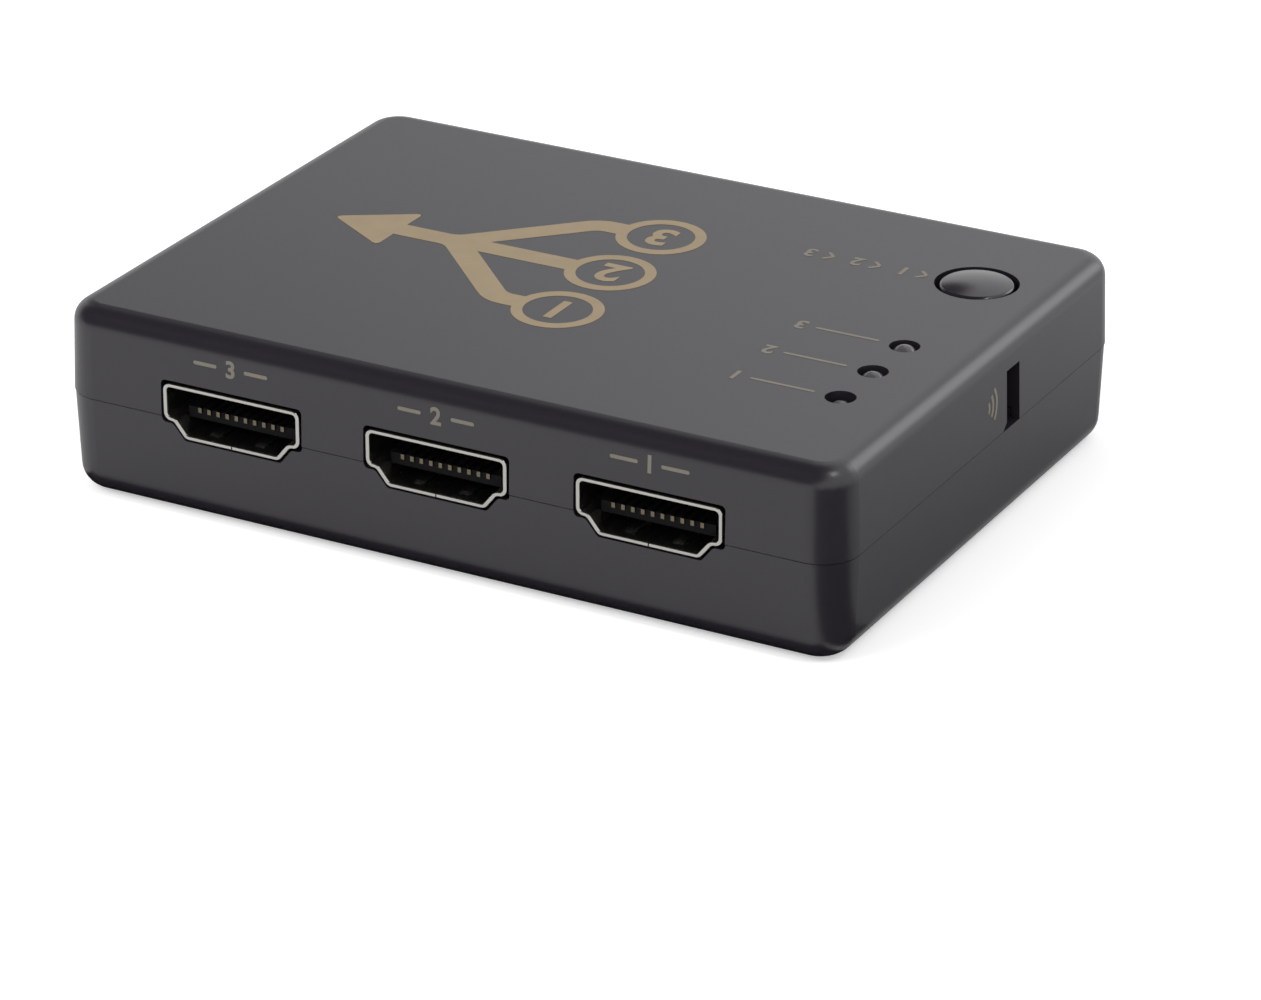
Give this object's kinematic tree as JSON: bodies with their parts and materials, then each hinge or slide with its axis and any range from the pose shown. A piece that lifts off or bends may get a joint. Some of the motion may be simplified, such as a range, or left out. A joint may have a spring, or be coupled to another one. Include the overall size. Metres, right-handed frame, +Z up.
{
  "type": "hdmi switch box",
  "caption": "Flat two-shell desktop box that routes one of several video sources to a display, with a select button, indicator lamps and an infrared window.",
  "frame": {"origin": "middle of the flat base", "axes": "+X to the right along the front, +Y to the back, +Z up"},
  "size_m": [0.082, 0.06, 0.0193],
  "materials": {
    "case_plastic": "moulded, satin near-black",
    "button_plastic": "moulded, smooth near-black",
    "socket_sheet": "nickel plated sheet",
    "socket_plastic": "moulded, black",
    "contact_gold": "gold plated strip",
    "tinned_metal": "tinned strip",
    "screw_steel": "zinc plated",
    "spring_steel": "plain sheet",
    "board_laminate": "green solder mask",
    "lamp_epoxy": "clear moulded",
    "receiver_epoxy": "dark moulded",
    "switch_plastic": "moulded, black",
    "chip_epoxy": "moulded, black",
    "capacitor_ceramic": "fired ceramic, tan",
    "crystal_can": "drawn can",
    "capacitor_can": "drawn can"
  },
  "bodies": {
    "case": {"bottom_cover": "case_plastic", "case_screws": "screw_steel", "ceramic_capacitors": "capacitor_ceramic", "circuit_board": "board_laminate", "controller_chip": "chip_epoxy", "controller_chip_leads": "tinned_metal", "crystal": "crystal_can", "filter_capacitor": "capacitor_can", "input_1_contacts": "contact_gold", "input_1_insulator": "socket_plastic", "input_1_shell": "socket_sheet", "input_2_contacts": "contact_gold", "input_2_insulator": "socket_plastic", "input_2_shell": "socket_sheet", "input_3_contacts": "contact_gold", "input_3_insulator": "socket_plastic", "input_3_shell": "socket_sheet", "ir_receiver": "receiver_epoxy", "ir_receiver_leads": "tinned_metal", "led_1": "lamp_epoxy", "led_2": "lamp_epoxy", "led_3": "lamp_epoxy", "led_leads": "tinned_metal", "output_contacts": "contact_gold", "output_insulator": "socket_plastic", "output_shell": "socket_sheet", "power_port_contacts": "contact_gold", "power_port_insulator": "socket_plastic", "power_port_shell": "socket_sheet", "protection_arrays": "chip_epoxy", "resistors": "chip_epoxy", "switch_body": "switch_plastic", "switch_chip": "chip_epoxy", "switch_chip_leads": "tinned_metal", "switch_dome": "spring_steel", "switch_plate": "spring_steel", "switch_terminals": "tinned_metal", "top_cover": "case_plastic", "voltage_regulator": "chip_epoxy", "voltage_regulator_leads": "tinned_metal"},
    "button": {"select_button": "button_plastic", "switch_plunger": "switch_plastic"}
  },
  "joints": [
    {"name": "button_press", "type": "slide", "parent": "case", "child": "button", "axis": [0, 0, -1], "range_m": [0, 0.0003], "stiffness_N_per_m": 6400, "deforming": ["switch_dome"]}
  ]
}
